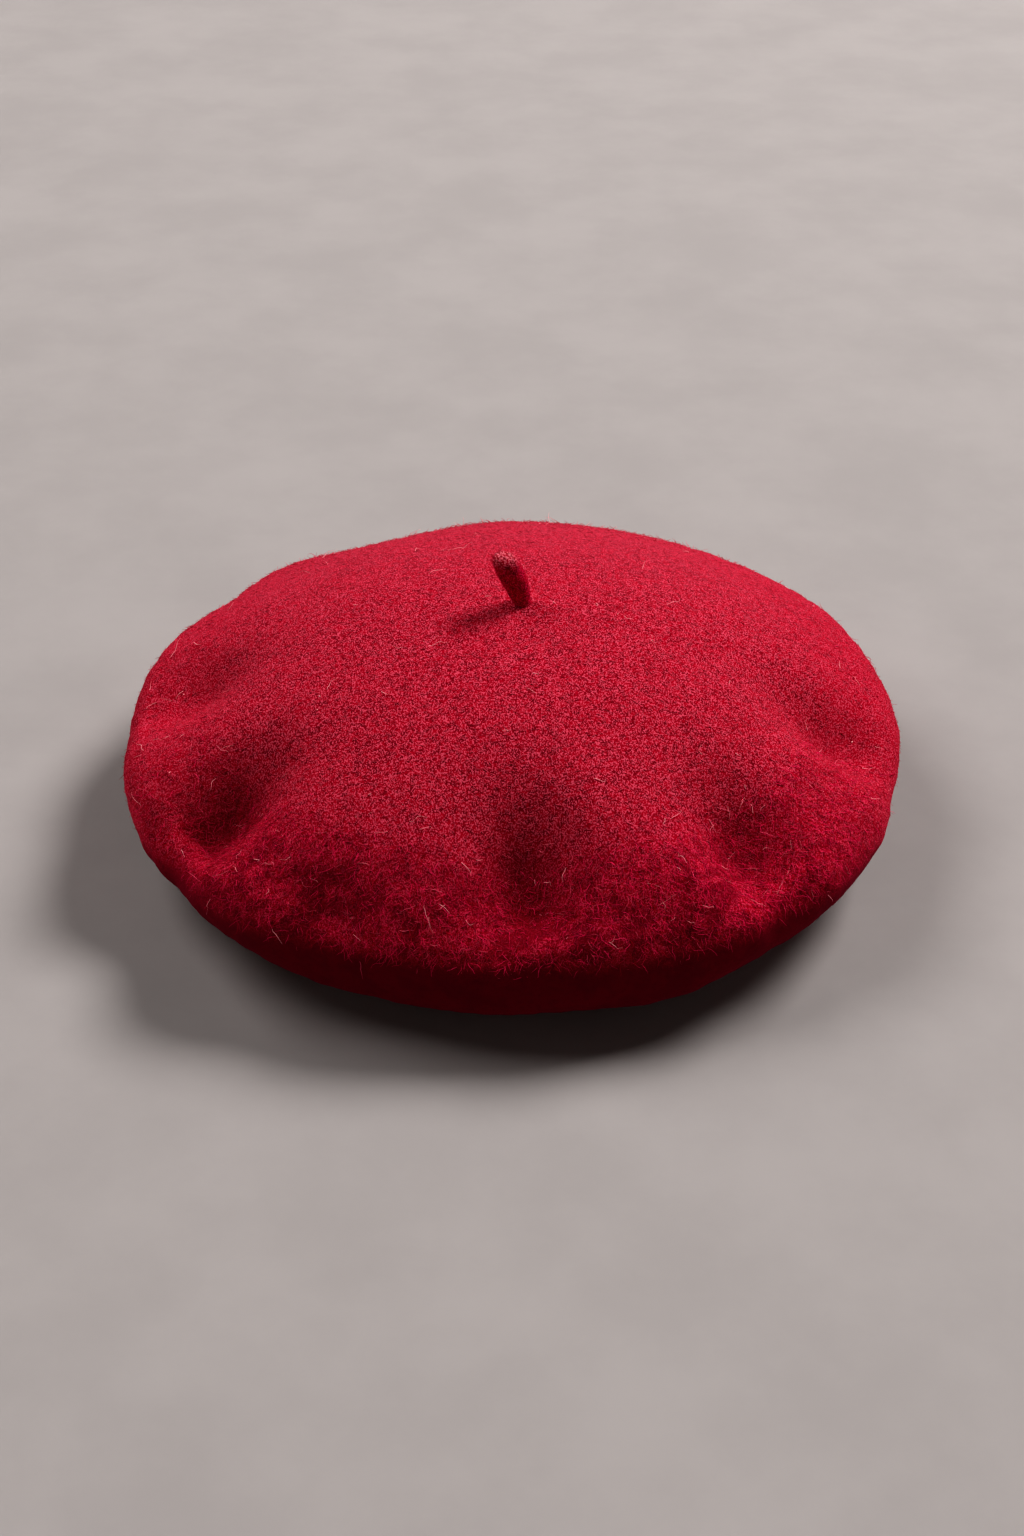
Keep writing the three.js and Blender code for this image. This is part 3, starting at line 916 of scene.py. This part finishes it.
class BERET_OT_make_stalk(bpy.types.Operator):
    """Makes the felted stalk at the middle of the crown"""

    bl_idname = "beret.make_stalk"
    bl_label = "Make Stalk"

    SIDES = 48
    RING_SPACING = 0.5  # millimetres
    TIP_RINGS = 12
    TIP_POWER = 0.8  # below 1 the tip is blunter than round
    LEAN_POWER = 1.1  # above 1 the stalk leans more towards its tip
    FELT_REACH = 50 * MM  # the stalk's felt is like the crown's at this reach

    def execute(self, context):
        stalk, colours = settings().stalk, settings().colours
        foot = Vector((stalk.reach * math.cos(stalk.azimuth), stalk.reach * math.sin(stalk.azimuth), 0))
        foot.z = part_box("stalk")[0].z
        work = bmesh.new()
        rings = []
        for section in self.fine_sections(stalk.height):
            points = [self.skin(stalk, foot, section, math.tau * k / self.SIDES) for k in range(self.SIDES)]
            rings.append([work.verts.new(point) for point in points])
        for lower, upper in zip(rings, rings[1:]):
            for k in range(self.SIDES):
                after = (k + 1) % self.SIDES
                work.faces.new((lower[k], lower[after], upper[after], upper[k]))
        work.faces.new(reversed(rings[0]))
        work.faces.new(rings[-1])
        bmesh.ops.triangulate(work, faces=[face for face in work.faces if len(face.verts) > 4])
        bmesh.ops.recalc_face_normals(work, faces=work.faces)
        felt = felt_material("stalk_felt", colours, colours.combed_wool, pale_share=0.5, frosting=0.4)
        piece = plain_object("beret_stalk", work, felt)
        points = len(piece.data.vertices)
        for name, value in (("reach", self.FELT_REACH), ("outer_face", 1.0)):
            piece.data.attributes.new(name, "FLOAT", "POINT").data.foreach_set("value", [value] * points)
        finish_piece(piece, "stalk_felt", "stalk")
        return {"FINISHED"}

    @classmethod
    def fine_sections(cls, height):
        """The table's sections with more between them, and the round of the tip."""
        heights = [section.height for section in STALK_SECTIONS]
        radii = [section.radius for section in STALK_SECTIONS]
        fine = [
            Section(between, float(np.interp(between, heights, radii)))
            for between in np.arange(heights[0], heights[-1], cls.RING_SPACING)
        ]
        shoulder = STALK_SECTIONS[-1]
        rise = height / MM - shoulder.height
        for step in range(cls.TIP_RINGS):
            angle = math.radians(90 * step / cls.TIP_RINGS)
            radius = shoulder.radius * math.cos(angle) ** cls.TIP_POWER
            fine.append(Section(shoulder.height + rise * math.sin(angle), radius))
        return fine

    @classmethod
    def skin(cls, stalk, foot, section, angle):
        """A point of the stalk's lumpy skin."""
        height, radius = section.height * MM, section.radius * MM
        share = max(0.0, height / stalk.height)
        centre = foot + Vector((-stalk.lean * share**cls.LEAN_POWER, 0, height))
        flat = Vector((math.cos(angle), math.sin(angle), 0))
        place = centre + flat * radius
        lump = noise.noise(place * STALK_LUMP_SCALE) + 0.5 * noise.noise(place * STALK_DIMPLE_SCALE)
        return centre + flat * (radius + stalk.lump_height * lump)


class BERET_OT_grow_nap(bpy.types.Operator):
    """Grows the short nap, the combed fibres and the stray hairs"""

    bl_idname = "beret.grow_nap"
    bl_label = "Grow Nap"

    def execute(self, context):
        colours = settings().colours
        wool, pale = colour(colours.wool), colour(colours.pale_wool)
        combed, hair = colour(colours.combed_wool), colour(colours.stray_hair)
        soft = colour(0.55 * dark + 0.45 * light for dark, light in zip(colours.wool, colours.pale_wool))
        nap = fibre_material("nap_fibres", soft, pale)
        stray_hairs = fibre_material("stray_hairs", hair, hair)
        materials = {
            "crown_combed": fibre_material("combed_fibres", wool, combed),
            "crown_wisps": fibre_material("wisps", combed, hair),
            "crown_stray_hairs": stray_hairs,
            "crown_lint": stray_hairs,
        }
        sow(bpy.data.objects["beret_crown"], CROWN_FIBRES, "crown_felt", nap, materials)
        stalk_nap = fibre_material("stalk_fibres", wool, combed)
        sow(bpy.data.objects["beret_stalk"], STALK_FIBRES, "stalk_felt", stalk_nap, {})
        return {"FINISHED"}


class BERET_OT_make_stage(bpy.types.Operator):
    """Makes the floor, the lights and the camera"""

    bl_idname = "beret.make_stage"
    bl_label = "Make Stage"

    FLOOR_SEGMENTS = 96
    BEND_STEPS = 12

    def execute(self, context):
        scene, stage = context.scene, settings().stage
        self.make_floor()
        world = bpy.data.worlds.new("studio")
        world.use_nodes = True
        background = world.node_tree.nodes["Background"]
        background.inputs["Color"].default_value = (1.0, 0.97, 0.95, 1.0)
        background.inputs["Strength"].default_value = stage.sky
        scene.world = world
        self.make_light(scene, KEY_LIGHT, stage.light_distance, stage.key_power)
        self.make_light(scene, SECOND_LIGHT, stage.light_distance, stage.second_power)
        self.make_camera(scene, stage)
        scene.view_settings.view_transform = "Standard"
        scene.view_settings.look = "High Contrast"
        scene.view_settings.exposure = -0.17
        return {"FINISHED"}

    def make_floor(self):
        """A round floor whose edge curves up into a low wall, so that no horizon shows."""
        flat = FLOOR_INSIDE - FLOOR_BEND
        profile = [(0.0, 0.0), (flat, 0.0)]
        for step in range(1, self.BEND_STEPS + 1):
            angle = math.radians(90 * step / self.BEND_STEPS)
            profile.append((flat + FLOOR_BEND * math.sin(angle), FLOOR_BEND * (1 - math.cos(angle))))
        profile.append((FLOOR_INSIDE, FLOOR_BEND + FLOOR_WALL))
        work = bmesh.new()
        verts = [work.verts.new((distance, 0, height)) for distance, height in profile]
        edges = [work.edges.new(pair) for pair in zip(verts, verts[1:])]
        bmesh.ops.spin(
            work, geom=verts + edges, cent=(0, 0, 0), axis=(0, 0, 1),
            angle=math.tau, steps=self.FLOOR_SEGMENTS,
        )
        bmesh.ops.remove_doubles(work, verts=work.verts, dist=0.01 * MM)
        bmesh.ops.recalc_face_normals(work, faces=work.faces)
        if sum(face.normal.z for face in work.faces) < 0:
            bmesh.ops.reverse_faces(work, faces=work.faces)
        plain_object("floor", work, floor_material(settings().colours))

    @staticmethod
    def make_light(scene, lamp, distance, power):
        """A soft round light that faces the beret."""
        light = bpy.data.lights.new(lamp.name, "AREA")
        light.shape = "DISK"
        light.size = 2 * distance * math.tan(math.radians(lamp.width / 2)) * LAMP_ALLOWANCE
        light.energy = power
        placed = bpy.data.objects.new(lamp.name, light)
        scene.collection.objects.link(placed)
        around, up = math.radians(lamp.azimuth), math.radians(lamp.elevation)
        direction = Vector((math.cos(up) * math.cos(around), math.cos(up) * math.sin(around), math.sin(up)))
        placed.location = direction * distance
        placed.rotation_euler = direction.to_track_quat("Z", "Y").to_euler()

    @staticmethod
    def make_camera(scene, stage):
        """The camera, in front of the beret and above it."""
        lens = bpy.data.cameras.new("camera")
        lens.lens = 50
        lens.sensor_width = 36
        lens.clip_start = 0.01
        camera = bpy.data.objects.new("camera", lens)
        scene.collection.objects.link(camera)
        away = Vector((0, -math.cos(stage.camera_elevation), math.sin(stage.camera_elevation)))
        camera.location = Vector((0, 0, stage.aim_height)) + away * stage.camera_distance
        camera.rotation_euler = away.to_track_quat("Z", "Y").to_euler()
        scene.camera = camera


class BERET_PT_panel(bpy.types.Panel):
    """Lists the beret's operators and settings"""

    bl_label = "Beret"
    bl_idname = "BERET_PT_panel"
    bl_space_type = "VIEW_3D"
    bl_region_type = "UI"
    bl_category = "Beret"

    def draw(self, context):
        beret = context.scene.beret
        for operator in OPERATORS:
            self.layout.operator(operator.bl_idname)
        for group in (beret.crown, beret.stalk, beret.colours, beret.stage):
            box = self.layout.box()
            for name in group.__annotations__:
                box.prop(group, name)


GROUPS = (BeretCrownSettings, BeretStalkSettings, BeretColours, BeretStageSettings, BeretSettings)
OPERATORS = (BERET_OT_make_crown, BERET_OT_make_stalk, BERET_OT_grow_nap, BERET_OT_make_stage)


def register():
    for cls in (*GROUPS, *OPERATORS, BERET_PT_panel):
        bpy.utils.register_class(cls)
    bpy.types.Scene.beret = PointerProperty(type=BeretSettings)


def unregister():
    del bpy.types.Scene.beret
    for cls in reversed((*GROUPS, *OPERATORS, BERET_PT_panel)):
        bpy.utils.unregister_class(cls)


def main():
    register()
    bpy.ops.beret.make_crown()
    bpy.ops.beret.make_stalk()
    bpy.ops.beret.grow_nap()
    bpy.ops.beret.make_stage()


if __name__ == "__main__":
    main()
